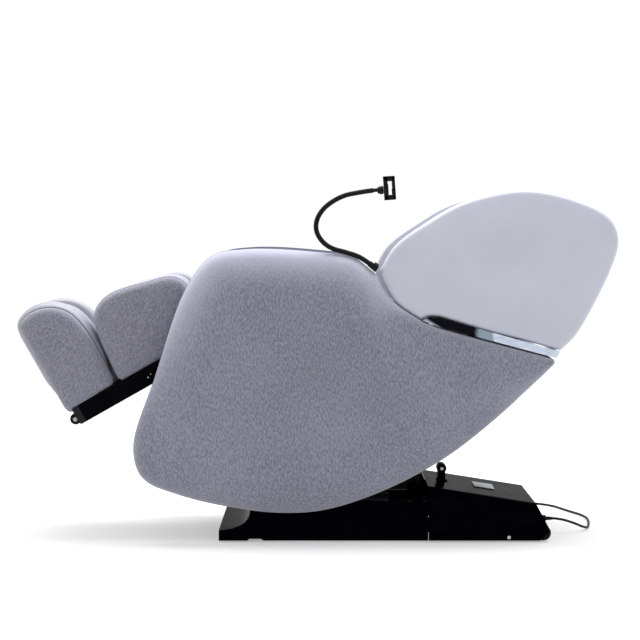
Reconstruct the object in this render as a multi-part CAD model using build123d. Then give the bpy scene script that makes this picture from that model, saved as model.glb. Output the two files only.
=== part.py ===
from build123d import *
import os
from math import atan2, cos, degrees, hypot, pi, radians, sin, tan

# Zero-gravity massage chair, modelled reclined with its leg rest raised, in millimetres.
# +Z is up and -X points towards the feet, so the sitter's left side is -Y. The floor is Z 0.
# Sub-parts that lie along the seat, the back or the leg rest are drawn flat in that group's
# own frame and then placed with SEAT, BACK or LEG.

# ---- driving dimensions -------------------------------------------------------------------
PANEL_OUT = 360  # half width over the fabric side panels
PANEL_IN = 290  # their inner faces
WING_OUT = 338  # half width over the hood's wings
WING_IN = 262
BASE_HALF = 270  # half width of the base's covers
PLATE_IN = 230  # inner face of the seat frame's side plates
PLATE_OUT = 236
CUSHION_HALF = 224
LEG_HALF = 235  # half width of the leg rest
GAP = 1.5  # gap between neighbouring covers

TILT_AXLE = (-110, 300)  # X and Z of the pivot that carries the whole seat
KNEE = (-300, 574)  # leg rest hinge
LEG_DROP = 29.5  # the leg rest points this far below the horizontal
HIP = (144, 434)  # where the seat and back surfaces meet
SEAT_RISE = 25
BACK_RISE = 40

LEG = Pos(KNEE[0], 0, KNEE[1]) * Rot(0, -LEG_DROP, 0)
SEAT = Pos(HIP[0], 0, HIP[1]) * Rot(0, SEAT_RISE, 0)
BACK = Pos(HIP[0], 0, HIP[1]) * Rot(0, -BACK_RISE, 0)

TUBE_WALL = 2.5
AXLE_R = 16  # tilt axle
RUN = 0.05  # radial running clearance
CORD_R = 3.5
FLOOR_CORD_Z = CORD_R + 0.5


# ---- helpers ------------------------------------------------------------------------------
def slab(face, y_low, y_high):
    """A face drawn in X and Z, thickened from y_low to y_high."""
    return extrude(Plane.XZ.offset(-y_high) * face, y_high - y_low)


def block(low, high):
    """A box from its lowest corner to its highest corner."""
    size = [h - l for l, h in zip(low, high)]
    centre = [(h + l) / 2 for l, h in zip(low, high)]
    return Pos(*centre) * Box(*size)


def beam(low, high, along):
    """A square-section steel tube between two corners, open at its ends."""
    inner_low = [v if axis == along else v + TUBE_WALL for axis, v in zip("XYZ", low)]
    inner_high = [v if axis == along else v - TUBE_WALL for axis, v in zip("XYZ", high)]
    return block(low, high) - block(inner_low, inner_high)


def side_slab(face, inner, outer):
    """A slab on one side of the chair: negative distances are the left side."""
    return slab(face, *sorted((inner, outer)))


def rod(radius, x, z, y_low, y_high):
    """A round bar along Y."""
    return Pos(x, (y_low + y_high) / 2, z) * Rot(90, 0, 0) * Cylinder(radius, y_high - y_low)


def bar(radius, start, end):
    """A round bar between two points."""
    axis = Vector(*end) - Vector(*start)
    return Plane(origin=start, z_dir=axis) * Cylinder(
        radius, axis.length, align=(Align.CENTER, Align.CENTER, Align.MIN)
    )


def other_side(shape):
    return mirror(shape, Plane.XZ)


def both(shape):
    return [shape, other_side(shape)]


def polygon(*points):
    return make_face(Polyline(*points, close=True))


def band(points, width):
    """A flat strip of even width along a bent line with rounded ends and corners."""
    parts = [Pos(*p) * Circle(width / 2) for p in points]
    for a, b in zip(points, points[1:]):
        length = hypot(b[0] - a[0], b[1] - a[1])
        middle = Plane(
            origin=((a[0] + b[0]) / 2, (a[1] + b[1]) / 2, 0),
            x_dir=(b[0] - a[0], b[1] - a[1], 0),
            z_dir=(0, 0, 1),
        )
        parts.append(middle * Rectangle(length, width))
    return Sketch() + parts


def placed(group, shapes):
    return [group * s for s in shapes]


def in_group(group, x, z):
    """Where a point of a group's own frame comes to in the chair, as X and Z."""
    at = (group * Pos(x, 0, z)).position
    return at.X, at.Z


SIDES = (("left", -1), ("right", 1))
NODES = {}


def node(name, shapes):
    shapes = shapes if isinstance(shapes, list) else [shapes]
    solids = [s for shape in shapes for s in shape.solids()]
    NODES[name] = solids[0] if len(solids) == 1 else Compound(children=solids)


# ---- base ---------------------------------------------------------------------------------
RAIL_Y = (195, 225)
RAIL_Z = (22, 62)
RAIL_X = (-184, 600)
UPRIGHT_Y = (204, 222)
BUSH_R = 21
CROSS_X = (-180, 262, 520)
CROSS_W = 36
COVER_SEAM = 305  # X of the seam between the skirt and the rear cover
COVER_TOP = (152, 104)  # height of the rear cover's top at its front and back
COVER_BACK = 609
COVER_TAIL = 646
COVER_WALL = 5
COVER_SLOPE = degrees(atan2(COVER_TOP[0] - COVER_TOP[1], COVER_BACK - COVER_SEAM))
SHOULDER_R = 52
SKIRT_WALL = 8
SKIRT_FRONT = -284
SKIRT_TOP = 116  # height of the skirt where it meets the rear cover
FLOOR_GAP = 4  # the covers' lower edge stays this far off the floor
WHEEL_R = 21
WHEEL_X = 628
WHEEL_Y = (236, 260)
STOP_AT = (354, 181)  # the rubber roller the reclined seat can rest on
STOP_R = 14
STOP_PIN_R = 6
CRANK = 150  # from the tilt axle to the tilt actuator's eye
CRANK_LEAN = 10.5
TILT_ROD_Z = 152
ACTUATOR_TAIL = 284


def base_frame():
    rail = beam((RAIL_X[0], RAIL_Y[0], RAIL_Z[0]), (RAIL_X[1], RAIL_Y[1], RAIL_Z[1]), "X")
    crosses = [
        beam((x, -RAIL_Y[0], RAIL_Z[0]), (x + CROSS_W, RAIL_Y[0], RAIL_Z[1]), "Y") for x in CROSS_X
    ]
    foot, top = RAIL_Z[1], TILT_AXLE[1]
    face = polygon((-160, foot), (-60, foot), (-84, top), (-136, top)) + Pos(*TILT_AXLE) * Circle(32)
    upright = slab(face, *UPRIGHT_Y) - rod(BUSH_R, *TILT_AXLE, 200, 230)
    clevis = band([(ACTUATOR_TAIL, RAIL_Z[1] + 12), (ACTUATOR_TAIL, TILT_ROD_Z)], 30)
    clevis -= Pos(ACTUATOR_TAIL, 0) * Rectangle(80, 2 * RAIL_Z[1])
    ear = slab(clevis, 20, 26) - rod(8 + RUN, ACTUATOR_TAIL, TILT_ROD_Z, 10, 30)
    stub = rod(6, WHEEL_X, WHEEL_R + 3, 190, 264)
    arm = block((RAIL_X[1], RAIL_Y[0], 12), (WHEEL_X + 10, RAIL_Y[1], 40)) - stub
    toe = block((-258, RAIL_Y[0], RAIL_Z[0]), (RAIL_X[0], RAIL_Y[1], RAIL_Z[0] + 5))
    holder = slab(band([(282, 76), (338, 84), (STOP_AT[0], 104), STOP_AT], 20), 30.5, 34.5)
    holder -= block((200, 0, 0), (400, 50, RAIL_Z[1]))
    holder -= rod(STOP_PIN_R, *STOP_AT, 0, 50)
    stop_pin = rod(STOP_PIN_R, *STOP_AT, -36, 36)
    pairs = [rail, upright, ear, arm, stub, toe, holder]
    node("base_frame", crosses + [stop_pin] + [side for piece in pairs for side in both(piece)])


def pivot_bushes():
    ring = rod(BUSH_R, *TILT_AXLE, *UPRIGHT_Y) + rod(26, *TILT_AXLE, UPRIGHT_Y[1], UPRIGHT_Y[1] + 3)
    ring -= rod(AXLE_R + RUN, *TILT_AXLE, 190, 240)
    node("pivot_bushes", both(ring))


def skirt_outline():
    foot = Spline((SKIRT_FRONT, 33), (-242, 40), (-206, 61), (-196, 90))
    top = Spline((-196, 90), (-120, 112), (100, 120), (COVER_SEAM - GAP, SKIRT_TOP))
    rest = Polyline(
        (COVER_SEAM - GAP, SKIRT_TOP),
        (COVER_SEAM - GAP, FLOOR_GAP),
        (-158, FLOOR_GAP),
        (-166, 9),
        (-198, 9),
        (-204, FLOOR_GAP),
        (SKIRT_FRONT, FLOOR_GAP),
        (SKIRT_FRONT, 33),
    )
    return make_face(Wire(foot.edges() + top.edges() + rest.edges()))


def base_skirt():
    outer = slab(skirt_outline(), -BASE_HALF, BASE_HALF)
    hollow = block((-276, SKIRT_WALL - BASE_HALF, 0), (COVER_SEAM + 5, BASE_HALF - SKIRT_WALL, 28))
    deck = block((-188, SKIRT_WALL - BASE_HALF, 27), (COVER_SEAM + 5, BASE_HALF - SKIRT_WALL, 200))
    node("base_skirt", outer - hollow - deck)


def cover_outline(inset):
    front = COVER_SEAM if inset == 0 else COVER_SEAM - 5
    floor = FLOOR_GAP if inset == 0 else FLOOR_GAP - 5
    return polygon(
        (front, floor),
        (front, COVER_TOP[0] - inset),
        (COVER_BACK - inset / 2, COVER_TOP[1] - inset),
        (COVER_TAIL - inset, 32),
        (618 - inset, floor),
    )


def cover_body(inset):
    """The cover's solid shape, with broad round shoulders along its sloping top."""
    half = BASE_HALF - inset
    roof = block((-60, -half, -260), (460, half, 0))
    roof = fillet(roof.edges().filter_by(Axis.X).sort_by(Axis.Z)[-2:], SHOULDER_R - inset)
    roof = Pos(COVER_SEAM, 0, COVER_TOP[0] - inset) * Rot(0, COVER_SLOPE, 0) * roof
    return slab(cover_outline(inset), -half, half) & roof


def rear_cover():
    outer = cover_body(0)
    shell = outer - cover_body(COVER_WALL)
    shell += outer & block((SOCKET_X - 5, -134, 22), (COVER_TAIL, -11, 84))
    shell -= block((SOCKET_X, -130, 26), (COVER_TAIL + 9, -15, 80))
    shell -= INLET_PLANE * Box(*INLET_CUT, 30)
    shell -= SWITCH_PLANE * Box(*SWITCH_CUT, 30)
    shell -= block((STOP_AT[0] - 16, -38, 60), (STOP_AT[0] + 18, 38, 200))
    for notch in both(block((599, 190, 0), (COVER_TAIL + 9, BASE_HALF - COVER_WALL, 50))):
        shell -= notch
    node("rear_cover", shell)


# The inlet and the switch sit in a pocket in the cover's rear face, facing +X.
SOCKET_X = 612
INLET_PLANE = Plane(origin=(SOCKET_X, -100, 45), x_dir=(0, 1, 0), z_dir=(1, 0, 0))
INLET_CUT = (27, 20)
SWITCH_PLANE = Plane(origin=(SOCKET_X, -46, 50), x_dir=(0, 1, 0), z_dir=(1, 0, 0))
SWITCH_CUT = (17, 26)


def power_inlet():
    flange = INLET_PLANE * Pos(0, 0, 1.2) * Box(48, 25, 2.2)
    can = INLET_PLANE * Pos(0, 0, -13.9) * Box(26, 19, 28)
    recess = INLET_PLANE * Pos(0, 0, -6) * Box(22.5, 15, 18)
    pins = [INLET_PLANE * Pos(x, y, -13) * Box(2, 4, 4) for x, y in ((-7, -1), (7, -1), (0, 3))]
    body = (flange + can) - recess
    node("power_inlet", [body] + pins)


ROCKER_R = 9


def rocker_switch():
    """A paddle that rocks about a pin along Y, just inside the pocket's back wall."""
    paddle = Rot(0, 90, 0) * Cylinder(ROCKER_R, 15) & Pos(0, 0, 5) * Box(40, 40, 12)
    node("rocker_switch", SWITCH_PLANE * Pos(0, 0, -4) * paddle)


def rubber_feet():
    front = both(Pos(-236, 215, 11) * Cylinder(20, 22))
    rear = both(Pos(575, 215, 11) * Cylinder(20, 22))
    node("rubber_feet", front + rear)


def cover_screws():
    x, z = 530, 13
    node("cover_screws", both(rod(5, x, z, BASE_HALF + 0.2, BASE_HALF + 2.2)))


def pump_and_control():
    """The air pump on the right and the control box on the left, under the rear cover."""
    case = block((330, -186, 66), (486, -48, 112))
    case = fillet(case.edges().filter_by(Axis.Z), 8)
    feet = [block((x, y, 30), (x + 14, y + 14, 65.5)) for x in (336, 466) for y in (-180, -70)]
    pump = Pos(430, 105, 88) * Rot(0, 90, 0) * Cylinder(22, 130)
    heads = [block((x, 80, 62.3), (x + 22, 130, 108)) for x in (342.5, 495.5)]
    node("pump_and_control", [case, pump] + feet + heads)


def stop_roller():
    node("stop_roller", rod(STOP_R, *STOP_AT, -28, 28) - rod(STOP_PIN_R + RUN, *STOP_AT, -30, 30))


def transport_wheels():
    axle_z = WHEEL_R + 3
    for name, side in SIDES:
        low, high = sorted((side * WHEEL_Y[0], side * WHEEL_Y[1]))
        tyre = rod(WHEEL_R, WHEEL_X, axle_z, low, high)
        tyre = fillet(tyre.edges(), 3) - rod(6 + RUN, WHEEL_X, axle_z, low - 5, high + 5)
        node("transport_wheel_" + name, tyre)


# ---- tilt actuator ------------------------------------------------------------------------
CRANK_EYE = (
    TILT_AXLE[0] - CRANK * sin(radians(CRANK_LEAN)),
    TILT_AXLE[1] - CRANK * cos(radians(CRANK_LEAN)),
)
PIN_R = 6
LOOSE_EYE_R = 11  # the open pivot: its eye is wider than its pin


def tilt_actuator():
    tail = slab(band([(ACTUATOR_TAIL - 40, TILT_ROD_Z), (ACTUATOR_TAIL, TILT_ROD_Z)], 24), -12, 12)
    tail -= block((180, -20, 100), (ACTUATOR_TAIL - 30, 20, 200))
    gearbox = block((ACTUATOR_TAIL - 84, -34, 118), (ACTUATOR_TAIL - 30, 34, 172))
    gearbox = fillet(gearbox.edges().filter_by(Axis.X), 8)
    motor = Pos(ACTUATOR_TAIL - 84, 0, 118 + 12) * Rot(0, -90, 0) * Pos(-12, 0, 45) * Cylinder(20, 90)
    motor = Pos(0, 0, -22) * motor
    sleeve = bar(17, (ACTUATOR_TAIL - 84, 0, TILT_ROD_Z), (-36, 0, TILT_ROD_Z))
    sleeve -= bar(10.3, (ACTUATOR_TAIL - 120, 0, TILT_ROD_Z), (-40, 0, TILT_ROD_Z))
    pin = rod(8, ACTUATOR_TAIL, TILT_ROD_Z, -29, 29)
    node("tilt_actuator", [(tail - pin) + gearbox + sleeve, motor - gearbox - sleeve, pin])


def tilt_actuator_rod():
    eye_x = CRANK_EYE[0]
    shaft = bar(10, (eye_x + 16, 0, TILT_ROD_Z), (80, 0, TILT_ROD_Z))
    eye = rod(19, eye_x, TILT_ROD_Z, -8, 8)
    node("tilt_actuator_rod", (shaft + eye) - rod(LOOSE_EYE_R, eye_x, TILT_ROD_Z, -20, 20))


# ---- seat frame ---------------------------------------------------------------------------
FRONT_CROSS = (-420, -92)  # in the seat's frame
MIDDLE_CROSS = (-131, -118)
SHOULDER_CROSS = (585, -142)  # in the back's frame
SEAT_ARM = [(-461.5, -61), (-400, -92), (-60, -122)]
BACK_ARM = [(0, -150), (585, -142)]
LEG_PIN_R = 8


def seat_frame():
    seat_line = [in_group(SEAT, x, z) for x, z in SEAT_ARM]
    back_line = [in_group(BACK, x, z) for x, z in BACK_ARM]
    outline = band([KNEE] + seat_line[1:] + [back_line[0], back_line[1]], 38)
    outline += band([TILT_AXLE, seat_line[1]], 34) + band([TILT_AXLE, back_line[0]], 34)
    plate = slab(outline, PLATE_IN, PLATE_OUT)
    plate -= rod(LEG_PIN_R, *KNEE, 220, 250) + rod(AXLE_R, *TILT_AXLE, 220, 250)
    axle = rod(AXLE_R, *TILT_AXLE, -PLATE_OUT - 4, PLATE_OUT + 4)
    crosses = []
    for group, (x, z) in ((SEAT, FRONT_CROSS), (SEAT, MIDDLE_CROSS), (BACK, SHOULDER_CROSS)):
        crosses.append(group * beam((x - 12, -PLATE_IN, z - 12), (x + 12, PLATE_IN, z + 12), "Y"))
    crank = slab(band([(TILT_AXLE[0] - 3, TILT_AXLE[1] - 22), CRANK_EYE], 26), 12, 18) - axle
    crank -= rod(PIN_R, *CRANK_EYE, 0, 30)
    crank_pin = rod(PIN_R, *CRANK_EYE, -20, 20)
    pins = both(rod(LEG_PIN_R, *KNEE, 192, PLATE_OUT + 3))
    node("seat_frame", both(plate) + [axle] + crosses + both(crank) + [crank_pin] + pins)


# ---- fabric side panels, arm pads, hood and trim ------------------------------------------
HOOD_NOTCH = (160, 749)
STRIP_TIP = (281, 622)
STRIP_LOW = [(327, 604.5), (652, 518)]
STRIP_HIGH = [(303, 634.5), (331, 632), (664, 539)]


def panel_outline():
    around = Spline(
        HOOD_NOTCH,
        (94, 797),
        (-20, 815),
        (-206, 822),
        (-300, 803),
        (-371, 716),
        (-463, 457),
        (-521, 268),
        (-496, 183),
        (-393, 135),
        (-206, 94),
        (-91, 85),
        (16, 94),
        (172, 145),
        (344, 236.5),
        (509, 366),
        (640, 495),
    )
    tip = Spline((640, 495), (651, 508), STRIP_LOW[1])
    along_strip = Polyline(STRIP_LOW[1], STRIP_LOW[0], STRIP_TIP)
    along_hood = Spline(STRIP_TIP, (206, 676), HOOD_NOTCH)
    return make_face(Wire(around.edges() + tip.edges() + along_strip.edges() + along_hood.edges()))


def side_panels():
    for name, side in SIDES:
        node("side_panel_" + name, side_slab(panel_outline(), side * PANEL_IN, side * PANEL_OUT))


def arm_pads():
    top = Spline((-338, 728), (-290, 789), (-200, 809), (-20, 803), (88, 785), (148, 742))
    back = Spline((148, 742), (194, 668), (262, 615))
    rest = Polyline((262, 615), (185, 470), (144, 412), (-300, 619), (-338, 660), (-338, 728))
    face = make_face(Wire(top.edges() + back.edges() + rest.edges()))
    left = slab(face, -PANEL_IN + GAP, -240)
    node("arm_pad_left", left)
    node("arm_pad_right", other_side(left))


def hood_outline():
    """The wing's outline, down to the panel's edge, with the trim strip's recess included."""
    shell = Spline(
        (HOOD_NOTCH[0] + 4, HOOD_NOTCH[1] + 6),
        (207, 828),
        (290, 891),
        (400, 952),
        (569, 988),
        (715, 957),
        (806, 910),
        (831, 847),
        (806, 756),
        (715, 587),
        (665, 519.5),
    )
    along_strip = Polyline((665, 519.5), (652, 520), (327, 606.5), (283, 624.5))
    along_panel = Spline((283, 624.5), (208, 678), (HOOD_NOTCH[0] + 4, HOOD_NOTCH[1] + 6))
    return make_face(Wire(shell.edges() + along_strip.edges() + along_panel.edges()))


def strip_outline():
    return polygon((STRIP_TIP[0] + 2, STRIP_TIP[1] + 3), *STRIP_HIGH, (653, 521), (327, 607.5))


def hood_wings():
    for name, side in SIDES:
        wing = side_slab(hood_outline(), side * WING_IN, side * WING_OUT)
        wing -= side_slab(offset(strip_outline(), 1), side * (WING_OUT - 5.5), side * (WING_OUT + 20))
        node("hood_wing_" + name, wing)


def trim_strips():
    left = slab(strip_outline(), -WING_OUT - 4, -WING_OUT + 5)
    node("trim_strip_left", left)
    node("trim_strip_right", other_side(left))


def hood_back():
    """The shell that joins the two wings behind the head and shoulders."""
    outer = Spline((569, 976), (715, 946), (795, 902), (818, 847), (795, 760), (706, 593), (660, 530))
    inner = Spline((648, 540), (694, 602), (780, 762), (801, 846), (782, 892), (708, 930), (569, 960))
    ends = [Line((660, 530), (648, 540)), Line((569, 960), (569, 976))]
    face = make_face(Wire(outer.edges() + inner.edges() + ends))
    node("hood_back", slab(face, -WING_IN + 0.5, WING_IN - 0.5))


def seat_and_back():
    seat = SEAT * block((-437, -CUSHION_HALF, -62), (-10, CUSHION_HALF, 0))
    back = BACK * block((26, -CUSHION_HALF, -58), (640, CUSHION_HALF, 0))
    node("seat_cushion", seat)
    node("back_cushion", back)
    pillow = block((478, -150, 1), (632, 150, 52))
    node("head_pillow", BACK * fillet(pillow.edges().filter_by(Axis.Y), 18))
    pad = block((250, CUSHION_HALF + 4, -20), (600, WING_IN - 2, 118))
    pad = fillet(pad.edges().filter_by(lambda e: e.center().Z > 100 and abs(e.center().X - 425) > 100), 40)
    node("shoulder_pads", placed(BACK, both(pad)))


def underbody_cover():
    """The shell that closes the back of the seat between the two side panels."""
    path = Spline((650, 512), (500, 388), (340, 262), (240, 205))
    inner = Spline((234, 217), (334, 273), (491, 397), (641, 521))
    face = make_face(Wire(path.edges() + inner.edges() + [Line((240, 205), (234, 217)), Line((641, 521), (650, 512))]))
    node("underbody_cover", slab(face, -PANEL_IN + GAP, PANEL_IN - GAP))


# ---- massage mechanism --------------------------------------------------------------------
RAIL_DEPTH = -112  # middle of the rails, in the back's and the seat's frame
RAIL_HALF_Y = 176
BALL_WHEEL_R = 27
SHAFT_X = 300  # where the carriage stands on the back at rest
SHAFT_Z = -112
ARM_Y = 72
ARM_REACH = 62
HUB_R = 12
WHEEL_SPOTS = {
    "massage_wheel_left_upper": (-1, 1),
    "massage_wheel_left_lower": (-1, -1),
    "massage_wheel_right_upper": (1, 1),
    "massage_wheel_right_lower": (1, -1),
}


def track_rails():
    back_top = in_group(BACK, 590, RAIL_DEPTH)
    back_low = in_group(BACK, 30, RAIL_DEPTH)
    hip = in_group(BACK, -35, RAIL_DEPTH + 10)
    seat_rear = in_group(SEAT, -70, -92)
    seat_front = in_group(SEAT, -330, -84)
    face = band([back_top, back_low, hip, seat_rear, seat_front], 26)
    rail = slab(face, RAIL_HALF_Y, RAIL_HALF_Y + 10)
    node("track_rails", both(rail))


def carriage_frame():
    plates = both(block((SHAFT_X - 70, 128, SHAFT_Z - 34), (SHAFT_X + 70, 134, SHAFT_Z + 20)))
    plates = [p - Pos(SHAFT_X, 0, SHAFT_Z) * Rot(90, 0, 0) * Cylinder(HUB_R + 4, 400) for p in plates]
    pan = block((SHAFT_X - 70, -128, SHAFT_Z - 34), (SHAFT_X + 70, 128, SHAFT_Z - 30))
    shoes = []
    for x in (SHAFT_X - 52, SHAFT_X + 52):
        for side in both(block((x - 12, 134, SHAFT_Z - 26), (x + 12, RAIL_HALF_Y - 2, SHAFT_Z - 6))):
            shoes.append(side)
    motor = Pos(SHAFT_X - 20, -60, SHAFT_Z - 56) * Rot(90, 0, 0) * Cylinder(22, 100)
    gearbox = block((SHAFT_X - 45, 0, SHAFT_Z - 80), (SHAFT_X + 45, 60, SHAFT_Z - 34))
    bearings = []
    for ring in both(Pos(SHAFT_X, 131, SHAFT_Z) * Rot(90, 0, 0) * Cylinder(HUB_R + 4, 6)):
        bearings.append(ring - Pos(SHAFT_X, 0, SHAFT_Z) * Rot(90, 0, 0) * Cylinder(8 + RUN, 400))
    node("carriage_frame", placed(BACK, plates + [pan] + shoes + [motor, gearbox] + bearings))


def kneading_shaft():
    shaft = Pos(SHAFT_X, 0, SHAFT_Z) * Rot(90, 0, 0) * Cylinder(8, 276)
    for y in (-ARM_Y, ARM_Y):
        shaft += Pos(SHAFT_X, y, SHAFT_Z) * Rot(90, 0, 0) * Cylinder(HUB_R, 18)
    node("kneading_shaft", BACK * shaft)


def massage_arm(side):
    """A Y-shaped arm on the shaft's hub, with a stub at each tip for a wheel."""
    y = side * ARM_Y
    line = [(SHAFT_X - ARM_REACH, SHAFT_Z + 18), (SHAFT_X, SHAFT_Z), (SHAFT_X + ARM_REACH, SHAFT_Z + 18)]
    arm = slab(band(line, 24) + Pos(SHAFT_X, SHAFT_Z) * Circle(22), y - 7, y + 7)
    arm -= Pos(SHAFT_X, y, SHAFT_Z) * Rot(90, 0, 0) * Cylinder(HUB_R + RUN, 40)
    for x, z in (line[0], line[2]):
        low, high = sorted((y - side * 7, y - side * 36))
        arm += rod(5, x, z, low, high)
    return BACK * arm


def massage_arms():
    node("massage_arm_left", massage_arm(-1))
    node("massage_arm_right", massage_arm(1))
    for name, (side, end) in WHEEL_SPOTS.items():
        x, z = SHAFT_X + end * ARM_REACH, SHAFT_Z + 18
        y = side * (ARM_Y - 22)
        wheel = Pos(x, y, z) * Rot(90, 0, 0) * Cylinder(BALL_WHEEL_R, 26)
        wheel = fillet(wheel.edges(), 11) - Pos(x, y, z) * Rot(90, 0, 0) * Cylinder(5 + RUN, 60)
        node(name, BACK * wheel)


# ---- leg rest -----------------------------------------------------------------------------
# In the leg's frame the foot end lies towards -X, and the pads stand on the frame's top.
CHANNEL_Y = (196, 228)
CHANNEL_Z = 20
PAD_FLOOR = 22
CALF_END = -298
FOOT_START = -301
SHEATH_END = -428
CAP_END = -448
SKID_Z = 31  # underside of the channel covers
WELL_Y = (18, 118)  # each leg's well, between the middle rib and the outer cushion
LINING_HALF = 206
LEG_EYE = (-90, -60)  # the leg actuator's eye on the leg rest
LEG_ROD_SLOPE = 15.8  # below the horizontal, towards the back
SOLE_WALL = -422


def leg_frame():
    tube = beam((CALF_END, CHANNEL_Y[0], -CHANNEL_Z), (9, CHANNEL_Y[1], CHANNEL_Z), "X")
    tube -= rod(LEG_PIN_R + RUN, 0, 0, 180, 240)
    tube += block((CALF_END, CHANNEL_Y[0], -SKID_Z), (-100, CHANNEL_Y[1], -CHANNEL_Z))
    crosses = [block((x - 16, -CHANNEL_Y[0], -12), (x + 16, CHANNEL_Y[0], 12)) for x in (-48, -240)]
    crosses = [c - block((c.center().X - 13.5, -300, -9.5), (c.center().X + 13.5, 300, 9.5)) for c in crosses]
    deck = block((-290, -CHANNEL_Y[0], 14), (-10, CHANNEL_Y[0], 17))
    lug_line = [(-62, -14), LEG_EYE]
    lug = slab(band(lug_line, 22), 11, 16) - block((-64, -300, -12), (-32, 300, 12))
    lug -= rod(PIN_R, *LEG_EYE, 0, 40)
    eye_pin = rod(PIN_R, *LEG_EYE, -18, 18)
    node("leg_frame", placed(LEG, both(tube) + crosses + [deck] + both(lug) + [eye_pin]))


def calf_outline():
    top = Spline(
        (15, 40), (11, 150), (0, 188), (-22, 208), (-84, 225), (-203, 247), (-259, 224), (-281, 164), (-295, 42)
    )
    rest = Polyline((-295, 42), (-287, PAD_FLOOR), (6, PAD_FLOOR), (15, 40))
    return make_face(Wire(top.edges() + rest.edges()))


def foot_outline():
    top = Spline(
        (-465, 275), (-456, 300), (-415, 313), (-365, 301), (-322, 262), (-304, 200), (FOOT_START, 120), (-304, 42)
    )
    rest = Polyline((-304, 42), (-312, PAD_FLOOR), (-457, PAD_FLOOR), (-465, 34), (-465, 275))
    return make_face(Wire(top.edges() + rest.edges()))


def panel_pair(name, outline):
    left = LEG * slab(outline, -LEG_HALF, -LINING_HALF - GAP)
    node(name + "_left", left)
    node(name + "_right", other_side(left))


def leg_pads():
    panel_pair("calf_panel", calf_outline())
    panel_pair("foot_panel", foot_outline())
    calf = slab(calf_outline(), -LINING_HALF, LINING_HALF)
    foot = slab(foot_outline(), -LINING_HALF, LINING_HALF)
    for low, high in (WELL_Y, (-WELL_Y[1], -WELL_Y[0])):
        calf -= block((-400, low, 122), (100, high, 400))
        foot -= block((SOLE_WALL, low, 90), (-200, high, 400))
    foot -= block((-462, -132, 60), (-426, 132, 240))
    node("calf_cushion", LEG * calf)
    node("foot_cushion", LEG * foot)


def foot_frame():
    inner = beam((-290, CHANNEL_Y[0] + 3, 3 - CHANNEL_Z), (-90, CHANNEL_Y[1] - 3, CHANNEL_Z - 3), "X")
    sheath = block((SHEATH_END, CHANNEL_Y[0] - 2, -21), (-300, CHANNEL_Y[1] + 2, 21))
    sheath += block((-301, CHANNEL_Y[0] + 3, 3 - CHANNEL_Z), (-290, CHANNEL_Y[1] - 3, CHANNEL_Z - 3))
    sheath -= block((SHEATH_END - 1, CHANNEL_Y[0] + 1, -18), (-303, CHANNEL_Y[1] - 1, 18))
    sheath += block((SHEATH_END, CHANNEL_Y[0] - 2, -SKID_Z), (-300, CHANNEL_Y[1] + 2, -21))
    cross = beam((SHEATH_END, 2 - CHANNEL_Y[0], -12), (SHEATH_END + 30, CHANNEL_Y[0] - 2, 12), "Y")
    deck = block((-424, 2 - CHANNEL_Y[0], 14), (-304, CHANNEL_Y[0] - 2, 17))
    node("foot_frame", placed(LEG, both(inner) + both(sheath) + [cross, deck]))


def foot_end_caps():
    cap = block((CAP_END, CHANNEL_Y[0] - 2, -SKID_Z), (SHEATH_END, CHANNEL_Y[1] + 2, 21))
    cap = fillet(cap.edges().filter_by(Axis.Y).sort_by(Axis.X)[:2], 7)
    lug_top, lug_low = GLIDE[1] + 9, GLIDE[1] - 9
    cap += block((GLIDE[0], CHANNEL_Y[0] - 2, lug_low), (CAP_END + 8, CHANNEL_Y[0] + 4, lug_top))
    cap += rod(9, *GLIDE, CHANNEL_Y[0] - 2, CHANNEL_Y[0] + 4)
    cap -= rod(5, *GLIDE, 150, 215)
    node("foot_end_caps", placed(LEG, both(cap)))


GLIDE = (-457, -11)  # the glide roller's axle, in the leg's frame


def glide_rollers():
    """One axle with a small wheel at each end, just inside the end caps."""
    axle = rod(5 - RUN, *GLIDE, -199, 199)
    for low, high in ((-190, -172), (172, 190)):
        axle += fillet(rod(16, *GLIDE, low, high).edges(), 2)
    node("glide_rollers", LEG * axle)


FOOT_ROLLER = (-444, 150)


def foot_roller():
    shaft = rod(4, *FOOT_ROLLER, -128, 128)
    for y in (-100, -68, -36, 36, 68, 100):
        shaft += fillet(rod(15, *FOOT_ROLLER, y - 12, y + 12).edges(), 6)
    node("foot_roller", LEG * shaft)


# ---- leg actuator -------------------------------------------------------------------------
LEG_EYE_AT = in_group(LEG, *LEG_EYE)
LEG_ROD = Pos(LEG_EYE_AT[0], 0, LEG_EYE_AT[1]) * Rot(0, LEG_ROD_SLOPE, 0)


def leg_actuator():
    """Drawn along X from the eye at the origin, then turned to its slope under the seat."""
    sleeve = bar(16, (112, 0, 0), (252, 0, 0)) - bar(9.3, (100, 0, 0), (245, 0, 0))
    gearbox = block((252, -30, -26), (300, 30, 26))
    motor = bar(18, (252, 0, -46), (170, 0, -46))
    ears = both(block((300, 6, -12), (315, 12, 12)))
    node("leg_actuator", placed(LEG_ROD, [sleeve + gearbox, motor, *ears]))


def leg_actuator_rod():
    shape = bar(9, (15, 0, 0), (150, 0, 0)) + rod(19, 0, 0, -8, 8) - rod(LOOSE_EYE_R, 0, 0, -20, 20)
    node("leg_actuator_rod", LEG_ROD * shape)


# ---- phone holder -------------------------------------------------------------------------
NECK_R = 6.5
FERRULE_R = 8.5
NECK_Y = -300
NECK_PATH = [
    (154, 771),
    (110, 806),
    (62, 820),
    (14, 836),
    (-11, 880),
    (6, 932),
    (52, 967),
    (105, 981),
    (158, 986),
]
NECK_CUT = 4  # the bend joint stands at this point of the path
NECK_GAP = 9
BALL_R = 9
CLAMP = Pos(181, NECK_Y, 993) * Rot(0, -4, 0)


def neck_tube(points):
    corners = [(x, NECK_Y, z) for x, z in points]
    radii = [26] * (len(corners) - 2)
    path = FilletPolyline(*corners, radius=radii)
    return sweep(Plane(path @ 0, z_dir=path % 0) * Circle(NECK_R), path)


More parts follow.
